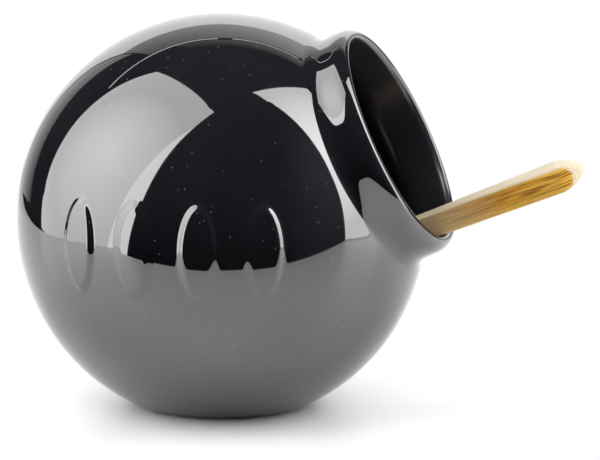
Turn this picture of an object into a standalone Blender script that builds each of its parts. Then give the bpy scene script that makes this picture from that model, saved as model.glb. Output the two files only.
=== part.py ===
"""Ball-shaped salt cellar of glazed ceramic, with a loose bamboo spoon standing in its open mouth.

Metres, +Z up. The origin is the middle of the flat foot, and the mouth leans towards +X.
"""

import math

import bmesh
import bpy
import numpy as np
from mathutils import Matrix, Vector

# Pot: driving sizes in metres, angles in degrees
BALL_DIAMETER = 0.110
WALL = 0.004
FOOT_DIAMETER = 0.045
FLOOR_THICKNESS = 0.0045
MOUTH_TILT = 26.1
COLLAR_DIAMETER = 0.0638
COLLAR_WALL = 0.0036
COLLAR_LENGTH = 0.0076
COLLAR_FILLET = 0.0046
LIP_INSIDE = 0.0011
LIP_INSIDE_LENGTH = 0.0020
LIP_OUTSIDE_LENGTH = 0.0040
BORE_ROUNDING = 0.006

# Raised relief on the front of the ball: a row of plain ovals on the equator
OVAL_COUNT = 4
OVAL_WIDTH = 0.0115
OVAL_HEIGHT = 0.026
OVAL_PITCH = 0.0170
RELIEF_HEIGHT = 0.0008

# Spoon: driving sizes
SPOON_LENGTH = 0.1403
SPOON_THICKNESS = 0.0064
HANDLE_END_THICKNESS = 0.0071
HANDLE_END_WIDTH = 0.0110
HANDLE_NOSE = 0.0072
NOSE_RISE = 0.0002
HANDLE_FLARE = 0.047
NECK_WIDTH = 0.0054
BOWL_LENGTH = 0.036
BOWL_WIDTH = 0.023
BOWL_RIM = 0.0015
SCOOP_DEPTH = 0.0040

# How the spoon stands in the mouth
SPOON_TILT = 20.9
SPOON_SWING = 12.0
SPOON_ROLL = 3.0
SPOON_ASIDE = -0.001
SEAT_GAP = 0.0002

# Fineness of the facets
RING_STEPS = 64
BALL_STEPS = 24
FILLET_STEPS = 5
LIP_STEPS = 5
OVAL_STEPS = 24
SECTION_STEPS = 24
BOWL_STATIONS = 16
HANDLE_STATIONS = 12
NOSE_STATIONS = 8
TIP_FLAT = 0.0002
MERGE_DISTANCE = 0.00001
CREASE_ANGLE = 40

# How finely the spoon's seat is searched for
SEAT_SAMPLES = 400
SEAT_ROUNDS = 6
SEAT_HALVINGS = 40

# Exponents of the rounded sections: a high one is nearly square, 2 is an ellipse
HANDLE_SQUARENESS = 8.0
BOWL_SQUARENESS = 2.5
NOSE_SQUARENESS = 1.65
NECK_SHARPNESS = 2.0

# Colours
GLAZE_COLOUR = (0.012, 0.012, 0.014)
GLAZE_ROUGHNESS = 0.08
BAMBOO_COLOUR = (0.62, 0.41, 0.15)
BAMBOO_ROUGHNESS = 0.5

# Sizes that follow from the driving ones
BALL_RADIUS = BALL_DIAMETER / 2
INNER_RADIUS = BALL_RADIUS - WALL
COLLAR_RADIUS = COLLAR_DIAMETER / 2
BORE_RADIUS = COLLAR_RADIUS - COLLAR_WALL
CROWN_RADIUS = BORE_RADIUS + LIP_INSIDE
LIP_OUTSIDE = COLLAR_RADIUS - CROWN_RADIUS
BALL_CENTRE = Vector((0, 0, math.sqrt(BALL_RADIUS**2 - (FOOT_DIAMETER / 2) ** 2)))


def blend_centre(ball_radius, tube_radius, rounding):
    """Centre, as (radius, height), of the round that joins a ball to a tube standing on it."""
    radius = tube_radius + rounding
    return radius, math.sqrt((ball_radius + rounding) ** 2 - radius**2)


FILLET_CENTRE = blend_centre(BALL_RADIUS, COLLAR_RADIUS, COLLAR_FILLET)
BORE_CENTRE = blend_centre(INNER_RADIUS, BORE_RADIUS, BORE_ROUNDING)
CROWN_HEIGHT = FILLET_CENTRE[1] + COLLAR_LENGTH
LIP_INSIDE_CENTRE = (CROWN_RADIUS, CROWN_HEIGHT - LIP_INSIDE_LENGTH)
LIP_OUTSIDE_CENTRE = (CROWN_RADIUS, CROWN_HEIGHT - LIP_OUTSIDE_LENGTH)


def clear_scene():
    for obj in list(bpy.data.objects):
        bpy.data.objects.remove(obj, do_unlink=True)


def new_collection(name):
    collection = bpy.data.collections.new(name)
    bpy.context.scene.collection.children.link(collection)
    return collection


def new_object(name, mesh, collection):
    obj = bpy.data.objects.new(name, mesh)
    collection.objects.link(obj)
    return obj


def new_material(name, colour, roughness):
    material = bpy.data.materials.new(name)
    material.use_nodes = True
    shader = material.node_tree.nodes["Principled BSDF"]
    shader.inputs["Base Color"].default_value = (*colour, 1)
    shader.inputs["Roughness"].default_value = roughness
    shader.inputs["Metallic"].default_value = 0
    return material


def new_helper(name, mesh, collection):
    """A shape that only cuts or joins another one."""
    helper = new_object(name, mesh, collection)
    helper.display_type = "WIRE"
    helper.hide_render = True
    return helper


def add_boolean(obj, operation, helper):
    boolean = obj.modifiers.new(helper.name, "BOOLEAN")
    boolean.operation = operation
    boolean.object = helper
    boolean.solver = "EXACT"


def add_screw(obj):
    screw = obj.modifiers.new("turned", "SCREW")
    screw.steps = RING_STEPS
    screw.render_steps = RING_STEPS
    screw.use_merge_vertices = True
    screw.merge_threshold = MERGE_DISTANCE
    screw.use_smooth_shade = True


def profile_mesh(name, points):
    """An open line of (radius, height) points in the XZ plane, to be turned about Z."""
    mesh = bpy.data.meshes.new(name)
    vertices = [(radius, 0, height) for radius, height in points]
    edges = [(index, index + 1) for index in range(len(points) - 1)]
    mesh.from_pydata(vertices, edges, [])
    return mesh


def ball_mesh(name, radius):
    mesh = bpy.data.meshes.new(name)
    shape = bmesh.new()
    bmesh.ops.create_uvsphere(shape, u_segments=RING_STEPS, v_segments=RING_STEPS // 2, radius=radius)
    shape.to_mesh(mesh)
    shape.free()
    return mesh


def ellipse(centre, radius, height, start, end, steps):
    """Points round an ellipse in the (radius, height) plane, from one angle to another in radians."""
    angles = np.linspace(start, end, steps + 1)
    return [(centre[0] + radius * math.cos(angle), centre[1] + height * math.sin(angle)) for angle in angles]


def arc(centre, radius, start, end, steps):
    """Points round a circle in the same plane."""
    return ellipse(centre, radius, radius, start, end, steps)


def pot_profile():
    """The wall's section: up the inside from the back of the ball, over the lip and down the outside."""
    back = -math.pi / 2
    middle = (0, 0)
    bore_angle = math.atan2(BORE_CENTRE[1], BORE_CENTRE[0])
    fillet_angle = math.atan2(FILLET_CENTRE[1], FILLET_CENTRE[0])
    inside = arc(middle, INNER_RADIUS, back, bore_angle, BALL_STEPS)
    bore = arc(BORE_CENTRE, BORE_ROUNDING, bore_angle + math.pi, math.pi, FILLET_STEPS)
    crown = math.pi / 2
    lip = ellipse(LIP_INSIDE_CENTRE, LIP_INSIDE, LIP_INSIDE_LENGTH, math.pi, crown, LIP_STEPS)
    lip_outside = ellipse(LIP_OUTSIDE_CENTRE, LIP_OUTSIDE, LIP_OUTSIDE_LENGTH, crown, 0, LIP_STEPS)
    fillet = arc(FILLET_CENTRE, COLLAR_FILLET, math.pi, fillet_angle + math.pi, FILLET_STEPS)
    outside = arc(middle, BALL_RADIUS, fillet_angle, back, BALL_STEPS)
    points = inside + bore[1:] + lip + lip_outside[1:] + fillet + outside[1:]
    points[0] = (0, -INNER_RADIUS)
    points[-1] = (0, -BALL_RADIUS)
    return points


def floor_profile():
    """A flat-topped cap of the ball, sunk halfway into the wall, that makes the pot's floor."""
    radius = BALL_RADIUS - WALL / 2
    top = FLOOR_THICKNESS - BALL_CENTRE.z
    rim_angle = math.asin(top / radius)
    points = [(0, top)] + arc((0, 0), radius, rim_angle, -math.pi / 2, FILLET_STEPS)
    points[-1] = (0, -radius)
    return points


def foot_mesh():
    """A block that takes off the bottom of the ball at the level of the table."""
    mesh = bpy.data.meshes.new("foot_cut")
    shape = bmesh.new()
    bmesh.ops.create_cube(shape, size=BALL_DIAMETER)
    bmesh.ops.translate(shape, verts=shape.verts, vec=(0, 0, -BALL_RADIUS))
    shape.to_mesh(mesh)
    shape.free()
    return mesh


def oval_mesh():
    """Oval rods that point outwards through the front of the wall, one for each raised oval."""
    mesh = bpy.data.meshes.new("relief_rods")
    shape = bmesh.new()
    outline = Matrix.Diagonal((OVAL_WIDTH / 2, OVAL_HEIGHT / 2, 1, 1))
    depth = INNER_RADIUS / 2
    for index in range(OVAL_COUNT):
        angle = (index - (OVAL_COUNT - 1) / 2) * OVAL_PITCH / BALL_RADIUS
        along = Vector((math.cos(angle), math.sin(angle), 0))
        outwards = Vector((math.sin(angle), -math.cos(angle), 0))
        turn = Matrix((along, (0, 0, 1), outwards)).transposed().to_4x4()
        place = Matrix.Translation(BALL_CENTRE + outwards * BALL_RADIUS) @ turn @ outline
        bmesh.ops.create_cone(
            shape, cap_ends=True, segments=OVAL_STEPS, radius1=1, radius2=1, depth=depth, matrix=place
        )
    shape.to_mesh(mesh)
    shape.free()
    return mesh


def build_pot(parts, helpers):
    pot = new_object("pot", profile_mesh("pot", pot_profile()), parts)
    pot.location = BALL_CENTRE
    pot.rotation_euler = (0, math.radians(90 - MOUTH_TILT), 0)
    add_screw(pot)

    floor = new_helper("floor", profile_mesh("floor", floor_profile()), helpers)
    floor.location = BALL_CENTRE
    add_screw(floor)
    add_boolean(pot, "UNION", floor)
    add_boolean(pot, "DIFFERENCE", new_helper("foot_cut", foot_mesh(), helpers))

    relief = new_helper("relief", oval_mesh(), helpers)
    relief_skin = new_helper("relief_skin", ball_mesh("relief_skin", BALL_RADIUS + RELIEF_HEIGHT), helpers)
    relief_root = new_helper("relief_root", ball_mesh("relief_root", BALL_RADIUS - WALL / 2), helpers)
    relief_skin.location = BALL_CENTRE
    relief_root.location = BALL_CENTRE
    add_boolean(relief, "INTERSECT", relief_skin)
    add_boolean(relief, "DIFFERENCE", relief_root)
    add_boolean(pot, "UNION", relief)
    pot.data.materials.append(new_material("black_glaze", GLAZE_COLOUR, GLAZE_ROUGHNESS))


def smooth_step(value):
    value = min(max(value, 0), 1)
    return value * value * (3 - 2 * value)


def rounded(value, power):
    """Height of a unit rounded end at a distance from 0, where it is full, to 1, where it closes."""
    value = min(max(value, 0), 1)
    return (1 - value**power) ** (1 / power)


def spoon_section(x):
    """Ring of (x, y, z) points round the spoon at a distance from the bowl's tip. The underside is z = 0."""
    half_bowl = BOWL_LENGTH / 2
    handle_start = SPOON_LENGTH - HANDLE_NOSE
    grip = smooth_step((x - half_bowl) / half_bowl)
    nose = rounded((x - handle_start) / HANDLE_NOSE, NOSE_SQUARENESS)
    flare_start = SPOON_LENGTH - HANDLE_FLARE
    taper = min(max((x - flare_start) / (handle_start - flare_start), 0), 1)
    bowl_side = BOWL_WIDTH / 2 * rounded(abs(x - half_bowl) / half_bowl, 2)
    handle_side = (NECK_WIDTH + (HANDLE_END_WIDTH - NECK_WIDTH) * taper) / 2 * nose * grip
    side = (bowl_side**NECK_SHARPNESS + handle_side**NECK_SHARPNESS) ** (1 / NECK_SHARPNESS)

    half = (SPOON_THICKNESS + (HANDLE_END_THICKNESS - SPOON_THICKNESS) * taper) / 2
    keel = rounded((half_bowl - x) / half_bowl, BOWL_SQUARENESS)
    above = BOWL_RIM + (half * nose - BOWL_RIM) * grip
    below = (SPOON_THICKNESS - BOWL_RIM) * keel * (1 - grip) + half * nose * grip
    keel_line = SPOON_THICKNESS - BOWL_RIM
    middle = keel_line + (half + NOSE_RISE * (1 - nose) - keel_line) * grip
    squareness = BOWL_SQUARENESS + (HANDLE_SQUARENESS - BOWL_SQUARENESS) * grip

    ring = []
    for angle in np.linspace(0, 2 * math.pi, SECTION_STEPS, endpoint=False):
        across = math.cos(angle)
        up = math.sin(angle)
        power = 2 / (HANDLE_SQUARENESS if up > 0 else squareness)
        height = above if up > 0 else below
        y = side * math.copysign(abs(across) ** power, across)
        z = middle + height * math.copysign(abs(up) ** power, up)
        ring.append((x, y, z))
    return ring


def spoon_stations():
    """Distances from the bowl's tip, close together at the round ends."""
    turn = np.linspace(0, math.pi, BOWL_STATIONS + 1)
    bowl = BOWL_LENGTH / 2 * (1 - np.cos(turn))
    handle = np.linspace(BOWL_LENGTH, SPOON_LENGTH - HANDLE_NOSE, HANDLE_STATIONS + 1)
    nose = SPOON_LENGTH - HANDLE_NOSE * (1 - np.sin(np.linspace(0, math.pi / 2, NOSE_STATIONS + 1)))
    stations = np.concatenate([bowl, handle[1:], nose[1:]])
    return np.clip(stations, TIP_FLAT, SPOON_LENGTH - TIP_FLAT)


def spoon_mesh():
    """Skin over the sections, closed at both tips."""
    mesh = bpy.data.meshes.new("spoon")
    shape = bmesh.new()
    rings = [[shape.verts.new(point) for point in spoon_section(x)] for x in spoon_stations()]
    for ring, following in zip(rings, rings[1:]):
        for index in range(SECTION_STEPS):
            after = (index + 1) % SECTION_STEPS
            shape.faces.new((ring[index], following[index], following[after], ring[after]))
    shape.faces.new(rings[0])
    shape.faces.new(reversed(rings[-1]))
    bmesh.ops.recalc_face_normals(shape, faces=shape.faces)
    shape.to_mesh(mesh)
    shape.free()
    mesh.shade_smooth()
    mesh.set_sharp_from_angle(angle=math.radians(CREASE_ANGLE))
    return mesh


def scoop_mesh():
    """Flat ellipsoid that hollows the bowl from above and leaves its rim."""
    mesh = bpy.data.meshes.new("scoop")
    shape = bmesh.new()
    bmesh.ops.create_uvsphere(shape, u_segments=RING_STEPS // 2, v_segments=RING_STEPS // 4, radius=1)
    size = (BOWL_LENGTH / 2 - BOWL_RIM, BOWL_WIDTH / 2 - BOWL_RIM, SCOOP_DEPTH)
    bmesh.ops.scale(shape, verts=shape.verts, vec=size)
    bmesh.ops.translate(shape, verts=shape.verts, vec=(BOWL_LENGTH / 2, 0, SPOON_THICKNESS))
    shape.to_mesh(mesh)
    shape.free()
    return mesh


def spoon_axes():
    """Directions of the standing spoon: out along its handle, across it, and up from its top face."""
    swing = math.radians(SPOON_SWING)
    tilt = math.radians(SPOON_TILT)
    outwards = Vector((math.cos(swing) * math.cos(tilt), math.sin(swing) * math.cos(tilt), math.sin(tilt)))
    level = Vector((-math.sin(swing), math.cos(swing), 0))
    turn = Matrix.Rotation(math.radians(SPOON_ROLL), 3, outwards)
    across = turn @ level
    return outwards, across, outwards.cross(across)


def mouth_clearance(points):
    """Least distance from points about the ball's centre to the mouth: its lip, bore and inner round."""
    tilt = math.radians(MOUTH_TILT)
    axis = np.array((math.cos(tilt), 0, math.sin(tilt)))
    height = points @ axis
    radius = np.linalg.norm(points - np.outer(height, axis), axis=1)
    within = radius < CROWN_RADIUS
    width = np.where(within, LIP_INSIDE, LIP_OUTSIDE)
    length = np.where(within, LIP_INSIDE_LENGTH, LIP_OUTSIDE_LENGTH)
    across = (radius - CROWN_RADIUS) / width
    above = (height - CROWN_HEIGHT + length) / length
    ring = np.hypot(across, above)
    lip = (ring - 1) * ring / np.hypot(across / width, above / length)
    below = np.hypot(radius - BORE_CENTRE[0], height - BORE_CENTRE[1]) - BORE_ROUNDING
    in_bore = (height > BORE_CENTRE[1]) & (height < LIP_INSIDE_CENTRE[1])
    bore = np.where(in_bore, BORE_RADIUS - radius, lip)
    return min(lip.min(), below.min(), bore.min())


def spoon_seat():
    """Where the bowl's tip stands: the handle's underside on the lip and the bowl against the wall."""
    outwards, across, up = (np.array(axis) for axis in spoon_axes())
    tilt = math.radians(MOUTH_TILT)
    drop = math.sqrt(CROWN_RADIUS**2 - SPOON_ASIDE**2)
    lip = np.array((
        LIP_INSIDE_CENTRE[1] * math.cos(tilt) + drop * math.sin(tilt),
        SPOON_ASIDE,
        LIP_INSIDE_CENTRE[1] * math.sin(tilt) - drop * math.cos(tilt),
    ))
    fine = np.linspace(spoon_stations()[0], spoon_stations()[-1], SEAT_SAMPLES)
    local = np.array([spoon_section(x) for x in fine]).reshape(-1, 3)
    spread = local @ np.array((outwards, across, up))
    bowl = local[:, 0] < BOWL_LENGTH
    reach = INNER_RADIUS - SEAT_GAP
    floor = FLOOR_THICKNESS + SEAT_GAP - BALL_CENTRE.z

    lift = 0.0
    inside = 0.0
    for _ in range(SEAT_ROUNDS):
        start = lip + up * lift + spread[bowl]
        along = start @ outwards
        to_wall = along + np.sqrt(along**2 - (start**2).sum(axis=1) + reach**2)
        to_floor = (start[:, 2] - floor) / outwards[2]
        inside = min(to_wall.min(), to_floor.min())
        low = 0.0
        high = BALL_RADIUS / 2
        for _ in range(SEAT_HALVINGS):
            lift = (low + high) / 2
            clear = mouth_clearance(lip + up * lift - outwards * inside + spread) >= SEAT_GAP
            low, high = (low, lift) if clear else (lift, high)
    return BALL_CENTRE + Vector(lip + up * lift - outwards * inside)


def build_spoon(parts, helpers):
    spoon = new_object("spoon", spoon_mesh(), parts)
    turn = Matrix(spoon_axes()).transposed().to_4x4()
    spoon.matrix_world = Matrix.Translation(spoon_seat()) @ turn
    scoop = new_helper("scoop", scoop_mesh(), helpers)
    scoop.matrix_world = spoon.matrix_world
    add_boolean(spoon, "DIFFERENCE", scoop)
    spoon.data.materials.append(new_material("bamboo", BAMBOO_COLOUR, BAMBOO_ROUGHNESS))


def main():
    clear_scene()
    parts = new_collection("ball_salt_cellar")
    helpers = new_collection("cutters")
    build_pot(parts, helpers)
    build_spoon(parts, helpers)


main()
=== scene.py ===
# %% [markdown]
# # A ball salt cellar and its bamboo spoon
# This lesson dresses a small table piece: a glossy black ceramic ball with a wide tilted mouth, and a
# loose bamboo spoon that stands in it. The solids of both pieces come ready made, at their real size, with
# the joint that lets the spoon slide out. What is left to make is what the eye sees: a smooth glazed skin
# with a soft raised pattern, bamboo with its fibres, and a small studio to show them in.

# %% Load the solids
import math

import bmesh
import bpy
import numpy as np
from mathutils import Matrix, Vector


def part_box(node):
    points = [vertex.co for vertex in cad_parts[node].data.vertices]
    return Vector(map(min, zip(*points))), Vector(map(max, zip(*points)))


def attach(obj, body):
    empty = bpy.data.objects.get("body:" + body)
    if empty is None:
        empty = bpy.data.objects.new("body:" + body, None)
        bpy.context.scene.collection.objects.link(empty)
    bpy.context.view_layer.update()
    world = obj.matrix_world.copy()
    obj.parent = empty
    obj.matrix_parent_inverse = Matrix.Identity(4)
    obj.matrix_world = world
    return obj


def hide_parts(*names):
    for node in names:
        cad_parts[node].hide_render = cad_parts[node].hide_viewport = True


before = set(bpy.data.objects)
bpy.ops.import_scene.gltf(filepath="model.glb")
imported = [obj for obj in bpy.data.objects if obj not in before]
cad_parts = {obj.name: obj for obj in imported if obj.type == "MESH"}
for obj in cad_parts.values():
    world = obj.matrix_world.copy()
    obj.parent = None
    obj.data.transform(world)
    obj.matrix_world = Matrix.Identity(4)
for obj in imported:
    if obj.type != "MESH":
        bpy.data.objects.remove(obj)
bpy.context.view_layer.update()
for node in sorted(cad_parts):
    low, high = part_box(node)
    print(node, "measures", [round(1000 * side, 1) for side in high - low], "mm")

# %% [markdown]
# The pot is a slip-cast ball that stands on a flat foot. Everything about it hangs on two things: where the
# middle of the ball is, and which way the mouth looks. The back of the ball is plain, so the solid's own box
# gives the radius. The height of the middle follows from the foot, because the foot is the ball cut off
# level.

# %% Measure the ball
FOOT_RADIUS = 0.0225
MOUTH_TILT = math.radians(26.1)

_, pot_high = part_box("pot")
BALL_RADIUS = pot_high.y
ball_centre = Vector((0, 0, math.sqrt(BALL_RADIUS**2 - FOOT_RADIUS**2)))
mouth_axis = Vector((math.cos(MOUTH_TILT), 0, math.sin(MOUTH_TILT)))
print("the ball has a radius of", round(1000 * BALL_RADIUS, 2), "mm")
print("its middle is", round(1000 * ball_centre.z, 2), "mm above the table")

# %% [markdown]
# The camera stands a little to the right of the ball's front and looks slightly down on it, from so far away
# that the ball keeps a round outline. A long lens does that. A camera can be aimed by hand, but it is surer
# to work it out backwards, from the pixel that the ball's middle falls on and from how much of the ball one
# pixel covers.

# %% Place the camera
IMAGE_WIDTH = 600
IMAGE_HEIGHT = 460
BALL_PIXEL = (222.3, 218.0)
PIXEL_AT_BALL = 0.00026814
CAMERA_AZIMUTH = math.radians(15.4)
CAMERA_ELEVATION = math.radians(9.5)
CAMERA_DISTANCE = 0.9

studio_right = Vector((math.cos(CAMERA_AZIMUTH), math.sin(CAMERA_AZIMUTH), 0))
studio_front = Vector((math.sin(CAMERA_AZIMUTH), -math.cos(CAMERA_AZIMUTH), 0))
studio_up = Vector((0, 0, 1))
to_camera = studio_front * math.cos(CAMERA_ELEVATION) + studio_up * math.sin(CAMERA_ELEVATION)
picture_up = to_camera.cross(studio_right)

camera_place = ball_centre + to_camera * CAMERA_DISTANCE
aim = ball_centre + studio_right * (IMAGE_WIDTH / 2 - BALL_PIXEL[0]) * PIXEL_AT_BALL
aim = aim - picture_up * (IMAGE_HEIGHT / 2 - BALL_PIXEL[1]) * PIXEL_AT_BALL
lens_back = (camera_place - aim).normalized()
lens_right = picture_up.cross(lens_back).normalized()
lens_up = lens_back.cross(lens_right)
lens_turn = Matrix((lens_right, lens_up, lens_back)).transposed()

camera_data = bpy.data.cameras.new("camera")
camera_data.lens = CAMERA_DISTANCE / PIXEL_AT_BALL / IMAGE_WIDTH * camera_data.sensor_width
camera = bpy.data.objects.new("camera", camera_data)
camera.matrix_world = Matrix.Translation(camera_place) @ lens_turn.to_4x4()
bpy.context.scene.collection.objects.link(camera)
bpy.context.scene.camera = camera
bpy.context.scene.view_settings.view_transform = "Standard"
print("the lens is", round(camera_data.lens, 1), "mm long")

# %% [markdown]
# In Blender a finish is a small network of nodes, and so is the light of a room. Such a network can be drawn
# by hand in the shader editor. Written down it can be read and changed later, but the same few steps come
# back over and over: make a node, join two sockets, stretch a range, do a sum. So each of these gets a short
# helper.

# %% Write the node helpers


def add(tree, kind, **settings):
    """A new node of that kind, with some of its own settings changed."""
    node = tree.nodes.new("ShaderNode" + kind)
    for key, value in settings.items():
        setattr(node, key, value)
    return node


def feed(tree, socket, value):
    """Link a socket to another one, or set it to a constant."""
    if isinstance(value, bpy.types.NodeSocket):
        tree.links.new(value, socket)
    else:
        socket.default_value = value


def remap(tree, value, old, new, interpolation="LINEAR"):
    """A value that runs between two new ends while the given one runs between the old ends."""
    node = add(tree, "MapRange", interpolation_type=interpolation)
    feed(tree, node.inputs["Value"], value)
    for name, end in zip(("From Min", "From Max", "To Min", "To Max"), (*old, *new)):
        node.inputs[name].default_value = end
    return node.outputs["Result"]


def math_node(tree, operation, first, second):
    node = add(tree, "Math", operation=operation)
    feed(tree, node.inputs[0], first)
    feed(tree, node.inputs[1], second)
    return node.outputs["Value"]


def vector_node(tree, operation, first, second=None):
    """A sum on vectors. Its result is a number for a length, a distance or a dot product."""
    node = add(tree, "VectorMath", operation=operation)
    feed(tree, node.inputs[0], first)
    if second is not None:
        feed(tree, node.inputs[1], second)
    return node.outputs["Value" if operation in ("LENGTH", "DISTANCE", "DOT_PRODUCT") else "Vector"]


def split_vector(tree, vector):
    node = add(tree, "SeparateXYZ")
    feed(tree, node.inputs["Vector"], vector)
    return node.outputs


def mix_shaders(tree, share, first, second):
    node = add(tree, "MixShader")
    for socket, value in zip(node.inputs, (share, first, second)):
        feed(tree, socket, value)
    return node.outputs["Shader"]


print("the node helpers are ready")

# %% [markdown]
# A black glaze has hardly any colour of its own, so most of what it shows is the room around it. The studio
# here is a dark room whose walls grow a little lighter towards the ceiling and towards the right. It could be
# built of four walls, but a world whose shade changes with the direction does the same without them. The
# camera itself should see clean white behind the ball. The Light Path node tells the two apart: it says
# whether a ray comes straight from the camera or off a surface.

# %% Make the dark room
ROOM_FLOOR = (0.004, 0.004, 0.005, 1)
ROOM_WALL = (0.030, 0.028, 0.035, 1)
ROOM_CEILING = (0.090, 0.085, 0.106, 1)
ROOM_FLOOR_SLOPE = -0.4
RIGHT_WALL_SPAN = (0.45, 1.0)
RIGHT_WALL_LIFT = (1, 3.6)
WHITE = (1, 1, 1, 1)

room = bpy.data.worlds.new("studio")
room.use_nodes = True
room_tree = room.node_tree
look = add(room_tree, "TexCoord").outputs["Generated"]
slope = split_vector(room_tree, look)["Z"]
shades = add(room_tree, "ValToRGB")
shades.color_ramp.elements[0].color = ROOM_FLOOR
shades.color_ramp.elements[1].color = ROOM_CEILING
shades.color_ramp.elements.new(-ROOM_FLOOR_SLOPE / (1 - ROOM_FLOOR_SLOPE)).color = ROOM_WALL
feed(room_tree, shades.inputs["Fac"], remap(room_tree, slope, (ROOM_FLOOR_SLOPE, 1), (0, 1)))
dark = room_tree.nodes["Background"]
feed(room_tree, dark.inputs["Color"], shades.outputs["Color"])
to_the_right = vector_node(room_tree, "DOT_PRODUCT", look, studio_right)
lift = remap(room_tree, to_the_right, RIGHT_WALL_SPAN, RIGHT_WALL_LIFT, "SMOOTHSTEP")
feed(room_tree, dark.inputs["Strength"], lift)
white = add(room_tree, "Background")
white.inputs["Color"].default_value = WHITE
seen = add(room_tree, "LightPath").outputs["Is Camera Ray"]
room_mix = mix_shaders(room_tree, seen, dark.outputs["Background"], white.outputs["Background"])
feed(room_tree, room_tree.nodes["World Output"].inputs["Surface"], room_mix)
bpy.context.scene.world = room
print("the room is dark to the glaze and white to the camera")

# %% [markdown]
# The lamps are softboxes: large cloth panels, brightest where the lamp stands behind the cloth. On a ball
# each one shows as a bright window with crisp edges, so the corners matter. Each panel is a sheet between
# corners given in metres to the right of the ball's middle, towards the camera, and up. An area lamp would
# do too, but it is always a true rectangle. Here a strip of brighter lining runs along the near edge of the
# left box, and a fifth corner bows the near edge of the right one. The panels glow and are reflected, but
# the camera doesn't see them.

# %% Hang the softboxes
HOT_REACH = 0.30
LEFT_GLOW = (4.5, 2.8)
LINING_GLOW = (5.4, 4.2)
RIGHT_GLOW = (6.4, 3.6)


def studio_point(right, front, up):
    return ball_centre + studio_right * right + studio_front * front + studio_up * up


def glowing(name):
    """A material that only glows, with its tree and its emission node."""
    material = bpy.data.materials.new(name)
    material.use_nodes = True
    tree = material.node_tree
    tree.nodes.remove(tree.nodes["Principled BSDF"])
    emission = add(tree, "Emission")
    emission.inputs["Color"].default_value = WHITE
    feed(tree, tree.nodes["Material Output"].inputs["Surface"], emission.outputs["Emission"])
    return material, tree, emission


def softbox_cloth(name, hot_spot, glow):
    """Cloth whose glow falls off from the lamp behind it, from the first value to the second."""
    material, tree, emission = glowing(name)
    place = add(tree, "TexCoord").outputs["Object"]
    away = vector_node(tree, "DISTANCE", place, studio_point(*hot_spot))
    feed(tree, emission.inputs["Strength"], remap(tree, away, (0, HOT_REACH), glow))
    return material


def hang_panel(name, corners, material):
    mesh = bpy.data.meshes.new(name)
    mesh.from_pydata([studio_point(*corner) for corner in corners], [], [range(len(corners))])
    mesh.materials.append(material)
    panel = bpy.data.objects.new(name, mesh)
    bpy.context.scene.collection.objects.link(panel)
    panel.visible_camera = False
    return panel


left_corners = [
    (-0.566, -0.262, -0.076),
    (-0.333, -0.216, 0.718),
    (-0.050, 0.285, 0.699),
    (-0.283, 0.238, -0.094),
]
left_lining = [
    (-0.121, 0.266, 0.443),
    (-0.279, 0.234, -0.093),
    (-0.321, 0.161, -0.090),
]
right_corners = [
    (0.121, 0.083, 0.524),
    (0.386, -0.132, 0.524),
    (0.801, -0.002, -0.112),
    (0.502, 0.202, -0.060),
    (0.352, 0.162, 0.160),
]
left_lamp = (-0.297, 0.083, 0.196)
right_lamp = (0.329, 0.123, 0.239)
hang_panel("left_softbox", left_corners, softbox_cloth("left_softbox", left_lamp, LEFT_GLOW))
hang_panel("left_lining", left_lining, softbox_cloth("left_lining", left_lamp, LINING_GLOW))
hang_panel("right_softbox", right_corners, softbox_cloth("right_softbox", right_lamp, RIGHT_GLOW))
print("hung two softboxes, with", len(left_corners), "and", len(right_corners), "corners")

# %% [markdown]
# Behind the ball hangs white paper: two sheets one above the other, with a dimmer flap at each side. It draws
# the pale rim along the ball's outline, where glaze reflects most. The bright bar that holds the paper shows
# as a thin line along the top of the ball, and the faint haze above the bar as a soft glow. In a real studio
# lamps on the floor would light the paper. Paper that glows by itself is simpler to set, because each sheet
# can fade upwards and sideways just as much as it has to.

# %% Hang the paper
PAPER_BACK = -0.60
BAR_GLOW = (2.6, 2.6)


def paper_glow(name, rise, run):
    """Paper whose glow changes by rise from its foot to its top, and by run from left to right."""
    material, tree, emission = glowing(name)
    place = split_vector(tree, add(tree, "TexCoord").outputs["Generated"])
    upwards = remap(tree, place["Z"], (0, 1), rise)
    sideways = remap(tree, place["X"], (0, 1), run)
    feed(tree, emission.inputs["Strength"], math_node(tree, "MULTIPLY", upwards, sideways))
    return material


def hang_paper(name, outline, rise, run=(1, 1)):
    """A sheet of paper whose corners are given as metres to the right and up."""
    corners = [(right, PAPER_BACK, up) for right, up in outline]
    return hang_panel(name, corners, paper_glow(name, rise, run))


low_sheet = [(-0.24, -0.05), (0.30, -0.05), (0.34, 0.47), (-0.31, 0.42)]
high_sheet = [(-0.31, 0.42), (0.34, 0.47), (0.43, 0.82), (-0.40, 0.81)]
left_flap = [(-0.66, -0.05), (-0.25, -0.05), (-0.32, 0.42), (-0.345, 0.54)]
right_flap = [(0.30, -0.05), (0.56, -0.05), (0.48, 0.40), (0.34, 0.47)]
left_bar = [(-0.84, 0.87), (-0.30, 0.82), (-0.02, 0.83), (-0.02, 0.85), (-0.30, 0.84), (-0.84, 0.90)]
right_bar = [(0.05, 0.83), (0.45, 0.85), (0.45, 0.87), (0.05, 0.85)]
haze = [(-0.25, 0.87), (0.55, 0.89), (0.62, 1.12), (-0.20, 1.10)]
papers = [
    hang_paper("low_sheet", low_sheet, rise=(1.25, 2.05), run=(0.95, 1.1)),
    hang_paper("high_sheet", high_sheet, rise=(1.15, 0.75), run=(0.5, 1.2)),
    hang_paper("left_flap", left_flap, rise=(1.0, 0.8), run=(0.15, 1.0)),
    hang_paper("right_flap", right_flap, rise=(0.8, 0.5)),
    hang_paper("left_bar", left_bar, rise=BAR_GLOW),
    hang_paper("right_bar", right_bar, rise=BAR_GLOW),
    hang_paper("haze", haze, rise=(0.5, 0.1), run=(0.5, 1.3)),
]
print("hung", [paper.name for paper in papers])

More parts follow.
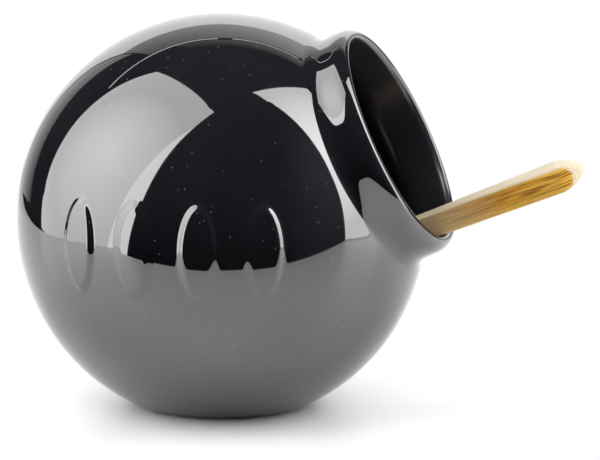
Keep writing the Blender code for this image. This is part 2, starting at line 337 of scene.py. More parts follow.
# %% [markdown]
# Black glaze and pale bamboo want different light. The glaze lives on the reflections of the panels, while
# the bamboo and the white table need an even, soft light of a plain strength. So four wide lamps are added:
# two high ones, before the ball and at its right, and two low ones that brighten the table at both sides.
# Larger panels could do the same, but then the glaze would mirror them. These lamps are kept out of its
# reflections.

# %% Hang the wide lamps
LAMP_WIDTH = 0.9


def hang_wide_lamp(name, corner, power):
    """A round lamp that looks at the ball. The power is in watts."""
    data = bpy.data.lights.new(name, "AREA")
    data.shape = "DISK"
    data.size = LAMP_WIDTH
    data.energy = power
    lamp = bpy.data.objects.new(name, data)
    lamp.location = studio_point(*corner)
    lamp.rotation_euler = (lamp.location - ball_centre).to_track_quat("Z", "Y").to_euler()
    lamp.visible_glossy = False
    bpy.context.scene.collection.objects.link(lamp)
    return lamp


wide_lamps = [
    hang_wide_lamp("front_lamp", (0.15, 0.95, 0.75), power=3),
    hang_wide_lamp("side_lamp", (0.80, 0.00, 0.50), power=6),
    hang_wide_lamp("low_left_lamp", (-0.75, -0.15, 0.15), power=10),
    hang_wide_lamp("low_right_lamp", (0.72, -0.35, 0.15), power=2.5),
]
print("the wide lamps give", sum(lamp.data.energy for lamp in wide_lamps), "watts together")

# %% [markdown]
# The table is a white sheet. It takes the ball's shadow, and its near edge draws the dark horizon across the
# front of the glaze. A sheet that ends a hand's breadth before the ball would show that edge in the picture.
# So a little way out the camera sees plain white instead, and the shadow fades into it. The glaze mirrors
# the sheet as the lamps light it, and the same plain white only far out.

# %% Lay the table
TABLE_FRONT = 0.185
TABLE_BACK = -0.60
TABLE_LEFT = -0.36
TABLE_RIGHT = 0.48
TABLE_COLOUR = (0.86, 0.86, 0.86, 1)
TABLE_ROUGHNESS = 0.35
TABLE_SHINE = 0.2
SEEN_FADE = (0.038, 0.120)
MIRRORED_FADE = (0.36, 0.56)

table_height = -ball_centre.z
table_corners = [
    (TABLE_LEFT, TABLE_FRONT, table_height),
    (TABLE_RIGHT, TABLE_FRONT, table_height),
    (TABLE_RIGHT, TABLE_BACK, table_height),
    (TABLE_LEFT, TABLE_BACK, table_height),
]
table_white, table_tree, table_glow = glowing("table_white")
table_glow.inputs["Strength"].default_value = 1
sheet = add(table_tree, "BsdfPrincipled")
sheet.inputs["Base Color"].default_value = TABLE_COLOUR
sheet.inputs["Roughness"].default_value = TABLE_ROUGHNESS
sheet.inputs["Specular IOR Level"].default_value = TABLE_SHINE
ray = add(table_tree, "LightPath").outputs
from_foot = vector_node(table_tree, "LENGTH", add(table_tree, "TexCoord").outputs["Object"])
seen = remap(table_tree, from_foot, SEEN_FADE, (0, 1), "SMOOTHSTEP")
seen = math_node(table_tree, "MULTIPLY", seen, ray["Is Camera Ray"])
mirrored = remap(table_tree, from_foot, MIRRORED_FADE, (0, 1), "SMOOTHSTEP")
mirrored = math_node(table_tree, "MULTIPLY", mirrored, ray["Is Glossy Ray"])
white_share = math_node(table_tree, "MAXIMUM", seen, mirrored)
table_mix = mix_shaders(table_tree, white_share, sheet.outputs["BSDF"], table_glow.outputs["Emission"])
feed(table_tree, table_tree.nodes["Material Output"].inputs["Surface"], table_mix)
table = hang_panel("table", table_corners, table_white)
table.visible_camera = True
print("the table reaches", TABLE_FRONT, "m in front of the ball")

# %% [markdown]
# The glaze isn't the same all over the pot. Specks of kiln dust sit in it. The flat that the pot stands on is
# wiped bare before firing, so the clay shows there. The inside, where the glaze is only poured round, is
# duller, and its tint is lighter than the outside's: painted light in the dark mouth. Such places could be
# painted on an unwrapped mesh. A mask is handier: a sum on the place of each point that gives 1 where the
# change is wanted and 0 elsewhere.

# %% Mark where the glaze changes
SPECKS_IN_A_METRE = 500
SPECK_EDGE = (0.08, 0.14)
SPECK_CHOICE = 0.55
BARE_RADIUS = 0.0195
BARE_HEIGHT = 0.0003
WALL = 0.004
BORE_RADIUS = 0.0283
CROWN_RADIUS = 0.0294


def speck_mask(tree, place):
    """Tiny round dots, one in a few of the cells of a Voronoi pattern."""
    cells = add(tree, "TexVoronoi")
    cells.inputs["Scale"].default_value = SPECKS_IN_A_METRE
    tree.links.new(place, cells.inputs["Vector"])
    dot = remap(tree, cells.outputs["Distance"], SPECK_EDGE, (1, 0))
    chosen = math_node(tree, "GREATER_THAN", cells.outputs["Color"], SPECK_CHOICE)
    return math_node(tree, "MULTIPLY", dot, chosen)


def bare_mask(tree, place):
    """1 on the wiped flat under the pot, 0 on the glaze."""
    radius = vector_node(tree, "LENGTH", vector_node(tree, "MULTIPLY", place, (1, 1, 0)))
    within = math_node(tree, "LESS_THAN", radius, BARE_RADIUS)
    below = math_node(tree, "LESS_THAN", split_vector(tree, place)["Z"], BARE_HEIGHT)
    return math_node(tree, "MULTIPLY", within, below)


def inside_mask(tree, place):
    """1 on the inner wall and in the bore of the collar, 0 on the outside."""
    from_centre = vector_node(tree, "SUBTRACT", place, ball_centre)
    distance = vector_node(tree, "LENGTH", from_centre)
    forward = vector_node(tree, "DOT_PRODUCT", from_centre, mouth_axis)
    off_axis = vector_node(tree, "LENGTH", vector_node(tree, "CROSS_PRODUCT", from_centre, mouth_axis))
    in_ball = math_node(tree, "LESS_THAN", distance, BALL_RADIUS - WALL / 2)
    in_bore = math_node(tree, "LESS_THAN", off_axis, (BORE_RADIUS + CROWN_RADIUS) / 2)
    ahead = math_node(tree, "GREATER_THAN", forward, 0)
    return math_node(tree, "MAXIMUM", in_ball, math_node(tree, "MULTIPLY", in_bore, ahead))


print("the bare clay under the pot is", round(2000 * BARE_RADIUS, 1), "mm across")

# %% [markdown]
# Glaze is a thin coat of glass. Melted black glass is smooth, so its highlights are sharp, and this one
# reflects about an eighth of the light that falls on it straight, which the shader takes as an index of
# refraction of 2.1. A Glossy shader over a black one could give the same. The Principled shader has both in
# one node, and it also survives an export. Real glaze isn't perfect: it lies a little unevenly, and it is a
# shade lighter here and darker there, so a slow noise varies its tint, its gloss and its surface.

# %% Mix the black glaze
GLAZE_INDEX = 2.1
GLAZE_TINTS = ((0.0018, 0.0016, 0.0024, 1), (0.0040, 0.0036, 0.0046, 1))
GLAZE_ROUGHNESS = (0.02, 0.05)
# A lighter tint inside the pot: painted light in the dark mouth.
INSIDE_PAINTED_LIGHT_TINT = (0.018, 0.017, 0.022, 1)
INSIDE_ROUGHNESS = 0.26
SPECK_COLOUR = (0.070, 0.068, 0.066, 1)
CLAY_COLOUR = (0.52, 0.46, 0.38, 1)
CLAY_ROUGHNESS = 0.8
CLOUDS_IN_A_METRE = 45
CLOUD_TINT_RANGE = (0.35, 0.65)
CLOUD_GLOSS_RANGE = (0.3, 0.7)
RIPPLES_IN_A_METRE = 60
RIPPLE_STRENGTH = 0.05
RIPPLE_DEPTH = 0.001


def new_material(name):
    material = bpy.data.materials.new(name)
    material.use_nodes = True
    return material, material.node_tree, material.node_tree.nodes["Principled BSDF"]


def noise(tree, place, scale, detail=2):
    node = add(tree, "TexNoise")
    node.inputs["Scale"].default_value = scale
    node.inputs["Detail"].default_value = detail
    tree.links.new(place, node.inputs["Vector"])
    return node.outputs["Fac"]


def mix_colour(tree, share, first, second):
    """Two colours mixed by a share. In a Mix node they go in at sockets 6 and 7 and come out at 2."""
    node = add(tree, "Mix", data_type="RGBA")
    sockets = (node.inputs["Factor"], node.inputs[6], node.inputs[7])
    for socket, value in zip(sockets, (share, first, second)):
        feed(tree, socket, value)
    return node.outputs[2]


def roughen(tree, shader, height, strength, depth):
    """Give a shader a fine relief."""
    bump = add(tree, "Bump")
    bump.inputs["Strength"].default_value = strength
    bump.inputs["Distance"].default_value = depth
    tree.links.new(height, bump.inputs["Height"])
    tree.links.new(bump.outputs["Normal"], shader.inputs["Normal"])


def mix_black_glaze():
    material, tree, shader = new_material("black_glaze")
    place = add(tree, "TexCoord").outputs["Object"]
    inside = inside_mask(tree, place)
    bare = bare_mask(tree, place)
    clouds = noise(tree, place, CLOUDS_IN_A_METRE, 3)

    tint = mix_colour(tree, remap(tree, clouds, CLOUD_TINT_RANGE, (0, 1)), *GLAZE_TINTS)
    # Painted light in the mouth: the inside gets a lighter tint.
    tint = mix_colour(tree, inside, tint, INSIDE_PAINTED_LIGHT_TINT)
    tint = mix_colour(tree, speck_mask(tree, place), tint, SPECK_COLOUR)
    tint = mix_colour(tree, bare, tint, CLAY_COLOUR)
    tree.links.new(tint, shader.inputs["Base Color"])

    rough = remap(tree, clouds, CLOUD_GLOSS_RANGE, GLAZE_ROUGHNESS)
    rough = math_node(tree, "MAXIMUM", rough, math_node(tree, "MULTIPLY", inside, INSIDE_ROUGHNESS))
    rough = math_node(tree, "MAXIMUM", rough, math_node(tree, "MULTIPLY", bare, CLAY_ROUGHNESS))
    tree.links.new(rough, shader.inputs["Roughness"])
    shader.inputs["IOR"].default_value = GLAZE_INDEX
    roughen(tree, shader, noise(tree, place, RIPPLES_IN_A_METRE, 1), RIPPLE_STRENGTH, RIPPLE_DEPTH)
    return material


black_glaze = mix_black_glaze()
straight_share = ((GLAZE_INDEX - 1) / (GLAZE_INDEX + 1)) ** 2
print("black glaze has", len(black_glaze.node_tree.nodes), "nodes")
print("it reflects", round(straight_share, 3), "of the light that falls on it straight")

# %% [markdown]
# The pot's wall is one closed line turned about the mouth's axis. It starts inside, at the back of the ball,
# runs forward along the inner wall, rounds into the bore, goes over the lip, down the collar, and through a
# hollow fillet onto the outside of the ball. A Screw modifier can turn such a line. Here the turning is done
# in a few lines of numpy, because a later step has to know which points lie inside and which outside. Thick
# glaze has no sudden bends, so the line of the collar is eased before it is turned.

# %% Draw the wall's section
COLLAR_RADIUS = 0.0319
COLLAR_LENGTH = 0.0076
COLLAR_FILLET = 0.0046
LIP_LENGTH = 0.0040
LIP_EASE = 0.0020
BORE_ROUNDING = 0.006
BEND_SPREAD = 0.0006
LEAST_SPREAD = 0.01
SPREADS_AT_END = 3
EASING_POINTS = 600
INNER_RADIUS = BALL_RADIUS - WALL


def round_centre(ball_radius, tube_radius, rounding):
    """Where the round that joins a ball to a tube has its middle, as radius and height."""
    radius = tube_radius + rounding
    return np.array((radius, math.sqrt((ball_radius + rounding) ** 2 - radius**2)))


def ellipse(centre, radius, height, angles):
    return np.stack((centre[0] + radius * np.cos(angles), centre[1] + height * np.sin(angles)), axis=1)


def arc(centre, radius, angles):
    return ellipse(centre, radius, radius, angles)


def eased(line, count):
    """The same line with its bends spread out, and with that number of points. Its ends stay put."""
    lengths = np.concatenate(([0], np.cumsum(np.hypot(*np.diff(line, axis=0).T))))
    even = np.linspace(0, lengths[-1], EASING_POINTS)
    fine = np.stack([np.interp(even, lengths, values) for values in line.T], axis=1)
    to_end = np.minimum(even, lengths[-1] - even)
    spread = BEND_SPREAD * np.clip(to_end / (SPREADS_AT_END * BEND_SPREAD), LEAST_SPREAD, 1)
    weights = np.exp(-(((even[None] - even[:, None]) / spread[:, None]) ** 2) / 2)
    smooth = weights @ fine / weights.sum(axis=1, keepdims=True)
    chosen = np.linspace(0, lengths[-1], count)
    return np.stack([np.interp(chosen, even, values) for values in smooth.T], axis=1)


fillet_centre = round_centre(BALL_RADIUS, COLLAR_RADIUS, COLLAR_FILLET)
bore_centre = round_centre(INNER_RADIUS, BORE_RADIUS, BORE_ROUNDING)
crown_height = fillet_centre[1] + COLLAR_LENGTH
outer_start = (CROWN_RADIUS, crown_height - LIP_LENGTH)
inner_start = (CROWN_RADIUS, crown_height - LIP_EASE)
fillet_angle = math.atan2(fillet_centre[1], fillet_centre[0])
bore_angle = math.atan2(bore_centre[1], bore_centre[0])
print("the crown of the lip is", round(1000 * crown_height, 2), "mm from the middle of the ball")

# %% [markdown]
# Now the section's points are set down. A turned shape is as fine as its section, so the points lie close
# where the form bends quickly, at the lip, and where the raised pattern will be, in a band over the front of
# the ball. Elsewhere a few are enough. A subdivision modifier would make all of it finer alike, and waste
# most of its faces.

# %% Set out the section's points
BAND = math.radians(42)
BACK = -math.pi / 2
POINTS_BEFORE_BAND = 10
POINTS_IN_BAND = 190
POINTS_TO_BACK = 28
BORE_ROUND_POINTS = 12
BORE_POINTS = 8
LIP_POINTS = 13
DRAWN_POINTS = 80
COLLAR_POINTS = 50

outside_angles = np.concatenate((
    np.linspace(fillet_angle, BAND, POINTS_BEFORE_BAND)[1:],
    np.linspace(BAND, -BAND, POINTS_IN_BAND)[1:],
    np.linspace(-BAND, BACK, POINTS_TO_BACK)[1:-1],
))
wall_angles = np.linspace(BACK, bore_angle, POINTS_TO_BACK)[1:]
bore_angles = np.linspace(bore_angle + math.pi, math.pi, BORE_ROUND_POINTS)[1:]
inner_lip_angles = np.linspace(math.pi, math.pi / 2, LIP_POINTS)[:-1]
bore_foot = (BORE_RADIUS, bore_centre[1])
bore_top = (BORE_RADIUS, inner_start[1])
inside_line = np.concatenate((
    arc((0, 0), INNER_RADIUS, wall_angles),
    arc(bore_centre, BORE_ROUNDING, bore_angles),
    np.linspace(bore_foot, bore_top, BORE_POINTS)[1:-1],
    ellipse(inner_start, CROWN_RADIUS - BORE_RADIUS, LIP_EASE, inner_lip_angles),
))
outer_lip_angles = np.linspace(math.pi / 2, 0, DRAWN_POINTS)
fillet_angles = np.linspace(math.pi, fillet_angle + math.pi, DRAWN_POINTS)
collar_line = np.concatenate((
    ellipse(outer_start, COLLAR_RADIUS - CROWN_RADIUS, LIP_LENGTH, outer_lip_angles),
    arc(fillet_centre, COLLAR_FILLET, fillet_angles),
))
ball_line = arc((0, 0), BALL_RADIUS, outside_angles)
outside_line = np.concatenate((eased(collar_line, COLLAR_POINTS), ball_line))
print("the section has", len(inside_line), "points inside and", len(outside_line), "outside")

# %% [markdown]
# A turned shape has the same number of points all round, but the raised pattern on the front needs them
# closer together than the plain back does. So the steps of the turn are small across the front and larger
# elsewhere.

# %% Turn the section
FRONT_HALF = math.radians(34)
FRONT_STEPS = 200
BACK_STEPS = 100

turn_angles = np.concatenate((
    np.linspace(-FRONT_HALF, FRONT_HALF, FRONT_STEPS),
    np.linspace(FRONT_HALF, 2 * math.pi - FRONT_HALF, BACK_STEPS)[1:-1],
))
turn_axis = np.array(mouth_axis)
turn_front = np.array((0, -1, 0))
turn_side = np.cross(turn_axis, turn_front)


def turn(line):
    """Rings of points about the mouth's axis, measured from the middle of the ball."""
    outwards = np.outer(np.cos(turn_angles), turn_front) + np.outer(np.sin(turn_angles), turn_side)
    return line[:, 0, None, None] * outwards[None] + line[:, 1, None, None] * turn_axis


inside_rings = turn(inside_line)
outside_rings = turn(outside_line)
print("turned", inside_rings.shape[0] + outside_rings.shape[0], "rings of", len(turn_angles), "points")

# %% [markdown]
# The raised pattern is part of the mould, so the glaze flows over it and softens every edge. A texture could
# fake it, but a black mirror gives fakes away: its reflections bend over the real shape. So the points
# themselves are pushed out, by a height that climbs smoothly across each oval's edge.

# %% Raise the ovals on the front
OVAL_COUNT = 4
OVAL_WIDTH = 0.0115
OVAL_HEIGHT = 0.026
OVAL_PITCH = 0.017
RELIEF_HEIGHT = 0.0008
RELIEF_EDGE = 0.0026
TINY = 1e-9


def smooth_step(value):
    value = np.clip(value, 0, 1)
    return value * value * (3 - 2 * value)


def oval_height(points, index):
    """How far one oval lifts points given from the middle of the ball."""
    angle = (index - (OVAL_COUNT - 1) / 2) * OVAL_PITCH / BALL_RADIUS
    across = points @ np.array((math.cos(angle), math.sin(angle), 0))
    outwards = points @ np.array((math.sin(angle), -math.cos(angle), 0))
    wide = across / (OVAL_WIDTH / 2)
    high = points[..., 2] / (OVAL_HEIGHT / 2)
    reach = np.hypot(wide, high) + TINY
    steepness = np.hypot(wide / (OVAL_WIDTH / 2), high / (OVAL_HEIGHT / 2)) / reach + TINY
    lift = RELIEF_HEIGHT * smooth_step((1 - reach) / steepness / RELIEF_EDGE)
    return np.where(outwards > 0, lift, 0)


relief = sum(oval_height(outside_rings, index) for index in range(OVAL_COUNT))
outside_rings = outside_rings * (1 + relief / BALL_RADIUS)[..., None]
print("the relief stands", round(1000 * relief.max(), 2), "mm proud")

# %% [markdown]
# The foot is where the soft ball was set down and cut level, and inside it the slip settled to a flat floor.
# A Boolean cut could make both. Here they are a limit on how low a point may lie, which keeps the rings
# whole. A plain limit would leave a hard crease, so this one is rounded off.

# %% Flatten the foot and the floor
FOOT_ROUNDING = 0.0012
FLOOR_THICKNESS = 0.0045
FLOOR_ROUNDING = 0.004


def keep_above(points, level, rounding):
    """Points with none below the level, and a soft bend where they reach it."""
    share = np.clip(0.5 + 0.5 * (points[..., 2] - level) / rounding, 0, 1)
    raised = points.copy()
    raised[..., 2] = level + (points[..., 2] - level) * share + rounding * share * (1 - share)
    return raised


inside_rings = keep_above(inside_rings + np.array(ball_centre), FLOOR_THICKNESS, FLOOR_ROUNDING)
outside_rings = keep_above(outside_rings + np.array(ball_centre), 0, FOOT_ROUNDING)
print("lowest point outside", round(1000 * outside_rings[..., 2].min(), 3), "mm")

# %% [markdown]
# Now the rings become a mesh. Each ring is joined to the next by a band of four-sided faces, and the two
# ends, at the back of the ball, close with a fan of triangles round one point. The Bridge Edge Loops tool
# does the same by hand. A helper does it here, because the spoon will need it too.

# %% Skin the pot


def skin_rings(name, rings, first_point, last_point):
    """A closed skin over rings of points, with a fan to one point at each end."""
    ring_count, turn_count = rings.shape[:2]
    points = [tuple(point) for point in rings.reshape(-1, 3)] + [tuple(first_point), tuple(last_point)]
    first = len(points) - 2
    last = len(points) - 1
    faces = []
    for ring in range(ring_count - 1):
        here = ring * turn_count
        there = here + turn_count
        for step in range(turn_count):
            after = (step + 1) % turn_count
            faces.append((here + step, there + step, there + after, here + after))
    end = (ring_count - 1) * turn_count
    for step in range(turn_count):
        after = (step + 1) % turn_count
        faces.append((first, step, after))
        faces.append((last, end + after, end + step))
    mesh = bpy.data.meshes.new(name)
    mesh.from_pydata(points, [], faces)
    shape = bmesh.new()
    shape.from_mesh(mesh)
    bmesh.ops.recalc_face_normals(shape, faces=shape.faces)
    shape.to_mesh(mesh)
    shape.free()
    mesh.shade_smooth()
    piece = bpy.data.objects.new(name, mesh)
    bpy.context.scene.collection.objects.link(piece)
    return piece


inner_back = ball_centre - mouth_axis * INNER_RADIUS
outer_back = ball_centre - mouth_axis * BALL_RADIUS
glazed_pot = skin_rings("glazed_pot", np.concatenate((inside_rings, outside_rings)), inner_back, outer_back)
glazed_pot.data.materials.append(black_glaze)
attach(glazed_pot, "pot")
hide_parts("pot")
print("the pot has", len(glazed_pot.data.polygons), "faces")

# %% [markdown]
# The spoon is shaped from one flat strip: an oval bowl with a round keel, a slim neck, and a handle that
# flares towards its domed end. It could be carved from a block with Booleans. But its section changes all the
# way along, so it is a loft: a ring of points is worked out for each station, and the rings are skinned like
# the pot's. First come three curves that the rings are made of. The handle's section is a squared ellipse,
# whose high power gives flat faces and softly broken edges.

# %% Draw the spoon's curves
RING_POINTS = 72


def rounded(value, power):
    """Height of a unit rounded end: 1 where the distance is 0 or less, and closing at 1."""
    value = min(max(value, 0), 1)
    return (1 - value**power) ** (1 / power)


def superellipse(across, up, power):
    """A point of a squared ellipse with half sizes of 1, in the direction of a plain circle's point."""
    return np.sign(across) * np.abs(across) ** (2 / power), np.sign(up) * np.abs(up) ** (2 / power)


def even_ring(y, z):
    """The same outline with its points spread evenly along it."""
    lengths = np.concatenate(([0], np.cumsum(np.hypot(np.diff(y), np.diff(z)))))
    spread = np.linspace(0, lengths[-1], RING_POINTS + 1)[:-1]
    return np.interp(spread, lengths, y), np.interp(spread, lengths, z)


print("each ring of the spoon gets", RING_POINTS, "points")

# %% [markdown]
# Two shapes meet in each ring. Near the tip it is the bowl, with a thin rim, a keel below and a scoop taken
# out of its top. Further on it is the handle, flat all round. A value called grip slides from the one to the
# other along the second half of the bowl, so that the keel runs out into the neck without a step.

# %% Shape the spoon's section
SPOON_LENGTH = 0.1403
SPOON_THICKNESS = 0.0064
HANDLE_END_THICKNESS = 0.0071
HANDLE_END_WIDTH = 0.0110
HANDLE_NOSE = 0.0072
NOSE_RISE = 0.0002
HANDLE_FLARE = 0.047
NECK_WIDTH = 0.0054
BOWL_LENGTH = 0.036
BOWL_WIDTH = 0.023
BOWL_RIM = 0.0015
SCOOP_DEPTH = 0.0040
HANDLE_POWER = 8.0
BOWL_POWER = 2.5
NOSE_POWER = 1.65
FINE_TURN_STEPS = 721


def spoon_ring(x):
    """Points round the spoon at a distance from the bowl's tip, with the underside at z = 0."""
    half_bowl = BOWL_LENGTH / 2
    nose_start = SPOON_LENGTH - HANDLE_NOSE
    flare_start = SPOON_LENGTH - HANDLE_FLARE
    grip = float(smooth_step((x - half_bowl) / half_bowl))
    nose = rounded((x - nose_start) / HANDLE_NOSE, NOSE_POWER)
    flare = min(max((x - flare_start) / (nose_start - flare_start), 0), 1)
    bowl_side = BOWL_WIDTH / 2 * rounded(abs(x - half_bowl) / half_bowl, 2)
    handle_side = (NECK_WIDTH + (HANDLE_END_WIDTH - NECK_WIDTH) * flare) / 2 * nose * grip
    half_width = math.hypot(bowl_side, handle_side)

    half = (SPOON_THICKNESS + (HANDLE_END_THICKNESS - SPOON_THICKNESS) * flare) / 2
    keel_depth = SPOON_THICKNESS - BOWL_RIM
    keel = rounded((half_bowl - x) / half_bowl, BOWL_POWER)
    above = BOWL_RIM + (half * nose - BOWL_RIM) * grip
    below = keel_depth * keel * (1 - grip) + half * nose * grip
    middle = keel_depth + (half + NOSE_RISE * (1 - nose) - keel_depth) * grip

    turn_steps = np.linspace(0, 2 * math.pi, FINE_TURN_STEPS)
    across = np.cos(turn_steps)
    up = np.sin(turn_steps)
    top_y, top_z = superellipse(across, up, HANDLE_POWER)
    low_y, low_z = superellipse(across, up, BOWL_POWER + (HANDLE_POWER - BOWL_POWER) * grip)
    y = half_width * np.where(up > 0, top_y, low_y)
    z = middle + np.where(up > 0, above * top_z, below * low_z)
    y, z = even_ring(y, z)

    reach = ((x - half_bowl) / (half_bowl - BOWL_RIM)) ** 2 + (y / (BOWL_WIDTH / 2 - BOWL_RIM)) ** 2
    scoop = SCOOP_DEPTH * np.sqrt(np.clip(1 - reach, 0, 1))
    z = np.where(z > middle, z - scoop, z)
    return np.stack((np.full(RING_POINTS, x), y, z), axis=1)


print("the handle's end is", 1000 * HANDLE_END_THICKNESS, "mm thick")
print("the bowl is", 1000 * BOWL_WIDTH, "mm wide")

# %% [markdown]
# The spoon leans in the mouth: its handle rests on the lip and its bowl against the wall. Three turns set
# that: how steeply it rises, how far it swings to the back, and how much it rolls. The place could be copied
# by hand, but it is surer to read it from the solid, by measuring how far the solid reaches along each of
# the spoon's own directions.

# %% Find where the spoon stands
SPOON_TILT = math.radians(20.9)
SPOON_SWING = math.radians(12.0)
SPOON_ROLL = math.radians(3.0)
TIP_FLAT = 0.0002

spoon_level = Vector((-math.sin(SPOON_SWING), math.cos(SPOON_SWING), 0))
spoon_out = Vector((math.cos(SPOON_SWING), math.sin(SPOON_SWING), 0)) * math.cos(SPOON_TILT)
spoon_out = spoon_out + studio_up * math.sin(SPOON_TILT)
spoon_across = Matrix.Rotation(SPOON_ROLL, 3, spoon_out) @ spoon_level
spoon_up = spoon_out.cross(spoon_across)

solid_points = np.array([vertex.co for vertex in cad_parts["spoon"].data.vertices])
along = solid_points @ np.array(spoon_out)
sideways = solid_points @ np.array(spoon_across)
upright = solid_points @ np.array(spoon_up)
seat = spoon_out * (along.min() - TIP_FLAT)
seat = seat + spoon_across * ((sideways.min() + sideways.max()) / 2) + spoon_up * upright.min()
spoon_turn = Matrix((spoon_out, spoon_across, spoon_up)).transposed()
print("the spoon's tip stands at", [round(1000 * value, 2) for value in seat], "mm")

# %% [markdown]
# Bamboo is a bundle of long fibres in a paler pith. Cut along the stem they show as streaks, and cut across
# they show as dots. Both could come from a photograph of bamboo, but that would fix one piece of wood for
# good. Here the streaks are noise drawn out along the spoon, and the dots are flat cells read across it. The
# patterns are read in the spoon's own directions, so they run along the handle however the spoon leans.

# %% Draw the fibres
DOTS_IN_A_METRE = 1700
DOT_SCATTER = 0.85
DOT_EDGE = (0.14, 0.36)
DOT_SHARE = 0.6
TOP_FACING = (0.45, 0.75)


def spoon_coordinates(tree):
    """Metres along, across and up the spoon, from the bowl's tip."""
    node = add(tree, "Mapping", vector_type="TEXTURE")
    node.inputs["Location"].default_value = seat
    node.inputs["Rotation"].default_value = spoon_turn.to_euler()
    tree.links.new(add(tree, "TexCoord").outputs["Object"], node.inputs["Vector"])
    return node.outputs["Vector"]


def grain(tree, place, repeats, detail):
    """Noise with that many repeats in a metre along, across and up the spoon."""
    node = add(tree, "Mapping")
    node.inputs["Scale"].default_value = repeats
    tree.links.new(place, node.inputs["Vector"])
    return noise(tree, node.outputs["Vector"], 1, detail)


def fibre_ends(tree, place):
    """Dots where the fibres are cut across."""
    split = split_vector(tree, place)
    crosscut = add(tree, "CombineXYZ")
    tree.links.new(split["Y"], crosscut.inputs["X"])
    tree.links.new(split["Z"], crosscut.inputs["Y"])
    cells = add(tree, "TexVoronoi", voronoi_dimensions="2D")
    cells.inputs["Scale"].default_value = DOTS_IN_A_METRE
    cells.inputs["Randomness"].default_value = DOT_SCATTER
    tree.links.new(crosscut.outputs["Vector"], cells.inputs["Vector"])
    return remap(tree, cells.outputs["Distance"], DOT_EDGE, (DOT_SHARE, 0))


def facing_up(tree):
    """1 where the surface looks the way of the spoon's top face, 0 on its sides."""
    facing = vector_node(tree, "DOT_PRODUCT", add(tree, "NewGeometry").outputs["Normal"], spoon_up)
    return remap(tree, facing, TOP_FACING, (0, 1))


print("the fibres are about", round(1000 / DOTS_IN_A_METRE, 2), "mm apart")

# %% [markdown]
# A strip of bamboo isn't one colour. Its sides cut through the dense, golden outer wood, which turns olive
# towards the underside. The top face is paler: partly the pale inner wood, partly painted light and sheen
# from above. Near the neck painted light lies on both faces: the sides greyer and paler, the top brighter.
# The end is sanded: pale, with dark dots, and with a rounded, slightly ragged border. A single wood texture
# can't tell these places apart, so each gets its own colours, mixed by where a point lies on the spoon.

# %% Choose the bamboo's colours
STRAW = (0.74, 0.42, 0.055, 1)
AMBER = (0.52, 0.23, 0.010, 1)
FIBRE = (0.20, 0.070, 0.003, 1)
OLIVE = (0.58, 0.37, 0.060, 1)
# The top face's colour is partly pale inner wood, partly painted light and sheen from above.
PALE_TOP_AND_SHEEN = (0.66, 0.57, 0.40, 1)
PALE_STREAK = (0.58, 0.47, 0.30, 1)
PALE_END = (0.68, 0.60, 0.43, 1)
END_DOT = (0.42, 0.29, 0.12, 1)
# Painted light near the neck: greyer, paler sides and a brighter top.
NECK_SIDE_PAINTED_LIGHT = (0.54, 0.42, 0.25, 1)
NECK_TOP_PAINTED_LIGHT = (0.78, 0.67, 0.41, 1)
BROAD_GRAIN = (40, 20, 400)
BROAD_RANGE = (0.38, 0.62)
STREAK_GRAIN = (90, 20, 1900)
STREAK_RANGE = (0.47, 0.62)
STREAK_SHARE = 0.85
FINE_RANGE = (0.50, 0.70)
FINE_SHARE = 0.50
TOP_GRAIN = (90, 2400, 20)
TOP_RANGE = (0.42, 0.68)
OLIVE_SPAN = (0.0004, 0.0026)
OLIVE_SHARE = 0.6
# Where the painted light near the neck lies, and how strongly.
NECK_LIGHT_SPAN = (SPOON_LENGTH - 0.046, SPOON_LENGTH - 0.022)
NECK_LIGHT_SHARE = 0.85
SANDED_END = 0.0038
END_ROUNDING = 0.0032
END_ROUNDING_POWER = 3
END_RAGGEDNESS = 0.002
END_BORDER = 0.0006


def side_colour(tree, place, fine, neck_painted_light):
    """Golden outer wood with dark streaks, and painted light near the neck."""
    broad = grain(tree, place, BROAD_GRAIN, 2)
    streaks = grain(tree, place, STREAK_GRAIN, 1)
    height = split_vector(tree, place)["Z"]
    colour = mix_colour(tree, remap(tree, broad, BROAD_RANGE, (0, 1)), STRAW, AMBER)
    colour = mix_colour(tree, remap(tree, streaks, STREAK_RANGE, (0, STREAK_SHARE)), colour, FIBRE)
    colour = mix_colour(tree, remap(tree, fine, FINE_RANGE, (0, FINE_SHARE)), colour, FIBRE)
    colour = mix_colour(tree, remap(tree, height, OLIVE_SPAN, (OLIVE_SHARE, 0)), colour, OLIVE)
    return mix_colour(tree, neck_painted_light, colour, NECK_SIDE_PAINTED_LIGHT)


def top_colour(tree, place, neck_painted_light):
    """Pale top face with faint streaks: partly inner wood, partly painted light and sheen, with a painted
    brighter top near the neck.
    """
    streaks = grain(tree, place, TOP_GRAIN, 2)
    colour = mix_colour(tree, remap(tree, streaks, TOP_RANGE, (0, 1)), PALE_TOP_AND_SHEEN, PALE_STREAK)
    return mix_colour(tree, neck_painted_light, colour, NECK_TOP_PAINTED_LIGHT)


def sanded_mask(tree, place, fine):
    """1 on the sanded end. Its border bows, and the fibres make it ragged."""
    split = split_vector(tree, place)
    off_middle = remap(tree, split["Z"], (0, HANDLE_END_THICKNESS), (-1, 1))
    off_middle = math_node(tree, "ABSOLUTE", off_middle, 0)
    bow = math_node(tree, "POWER", off_middle, END_ROUNDING_POWER)
    bow = math_node(tree, "MULTIPLY", bow, END_ROUNDING)
    ragged = math_node(tree, "MULTIPLY", fine, END_RAGGEDNESS)
    reach = math_node(tree, "ADD", math_node(tree, "ADD", split["X"], ragged), bow)
    start = SPOON_LENGTH - SANDED_END + END_RAGGEDNESS / 2
    return remap(tree, reach, (start, start + END_BORDER), (0, 1))


print("the sanded end is", 1000 * SANDED_END, "mm long")

# %% [markdown]
# All of it comes together in one shader. Bare sanded bamboo is satin: its fine fibres break up the shine, so
# they also vary the roughness, and a very shallow bump lets them catch the light.

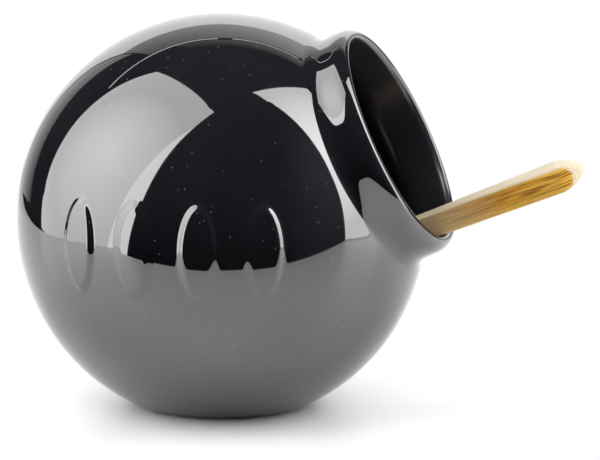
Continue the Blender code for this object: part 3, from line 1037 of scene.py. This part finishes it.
# %% Mix the bamboo
FINE_GRAIN = (150, 20, 3800)
BAMBOO_ROUGHNESS = (0.42, 0.58)
BAMBOO_GLOSS_RANGE = (0.3, 0.7)
BAMBOO_SHINE = 0.25
FIBRE_STRENGTH = 0.25
FIBRE_DEPTH = 0.0002


def mix_bamboo():
    material, tree, shader = new_material("bamboo")
    place = spoon_coordinates(tree)
    fine = grain(tree, place, FINE_GRAIN, 2)
    # Painted light near the neck, fading out along the handle.
    neck_painted_light = remap(tree, split_vector(tree, place)["X"], NECK_LIGHT_SPAN, (NECK_LIGHT_SHARE, 0))
    side_wood = side_colour(tree, place, fine, neck_painted_light)
    top_wood = top_colour(tree, place, neck_painted_light)
    sanded_wood = mix_colour(tree, fibre_ends(tree, place), PALE_END, END_DOT)
    # The top face takes the paler colour, partly painted light and sheen.
    colour = mix_colour(tree, facing_up(tree), side_wood, top_wood)
    colour = mix_colour(tree, sanded_mask(tree, place, fine), colour, sanded_wood)
    tree.links.new(colour, shader.inputs["Base Color"])
    tree.links.new(remap(tree, fine, BAMBOO_GLOSS_RANGE, BAMBOO_ROUGHNESS), shader.inputs["Roughness"])
    shader.inputs["Specular IOR Level"].default_value = BAMBOO_SHINE
    roughen(tree, shader, fine, FIBRE_STRENGTH, FIBRE_DEPTH)
    return material


bamboo = mix_bamboo()
print("bamboo has", len(bamboo.node_tree.nodes), "nodes")

# %% [markdown]
# The stations lie close together where the shape turns quickly, at the bowl and at the domed end. The
# finished mesh is moved to its seat point by point, so that its box in the scene is its true box. Moving the
# object instead would look the same, but the box of a leaning object is larger than what is in it.

# %% Skin the spoon
BOWL_STATIONS = 61
HANDLE_STATIONS = 90
NOSE_STATIONS = 33
CREASE_ANGLE = math.radians(50)

bowl_turn = np.linspace(0, math.pi, BOWL_STATIONS)
nose_turn = np.linspace(0, math.pi / 2, NOSE_STATIONS)[1:]
stations = np.concatenate((
    BOWL_LENGTH / 2 * (1 - np.cos(bowl_turn)),
    np.linspace(BOWL_LENGTH, SPOON_LENGTH - HANDLE_NOSE, HANDLE_STATIONS)[1:],
    SPOON_LENGTH - HANDLE_NOSE * (1 - np.sin(nose_turn)),
))
stations = np.clip(stations, TIP_FLAT, SPOON_LENGTH - TIP_FLAT)
rings = np.array([spoon_ring(x) for x in stations])
bamboo_spoon = skin_rings("bamboo_spoon", rings, rings[0].mean(axis=0), rings[-1].mean(axis=0))
bamboo_spoon.data.transform(Matrix.Translation(seat) @ spoon_turn.to_4x4())
bamboo_spoon.data.set_sharp_from_angle(angle=CREASE_ANGLE)
bamboo_spoon.data.materials.append(bamboo)
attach(bamboo_spoon, "spoon")
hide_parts("spoon")
print("the spoon has", len(bamboo_spoon.data.polygons), "faces")
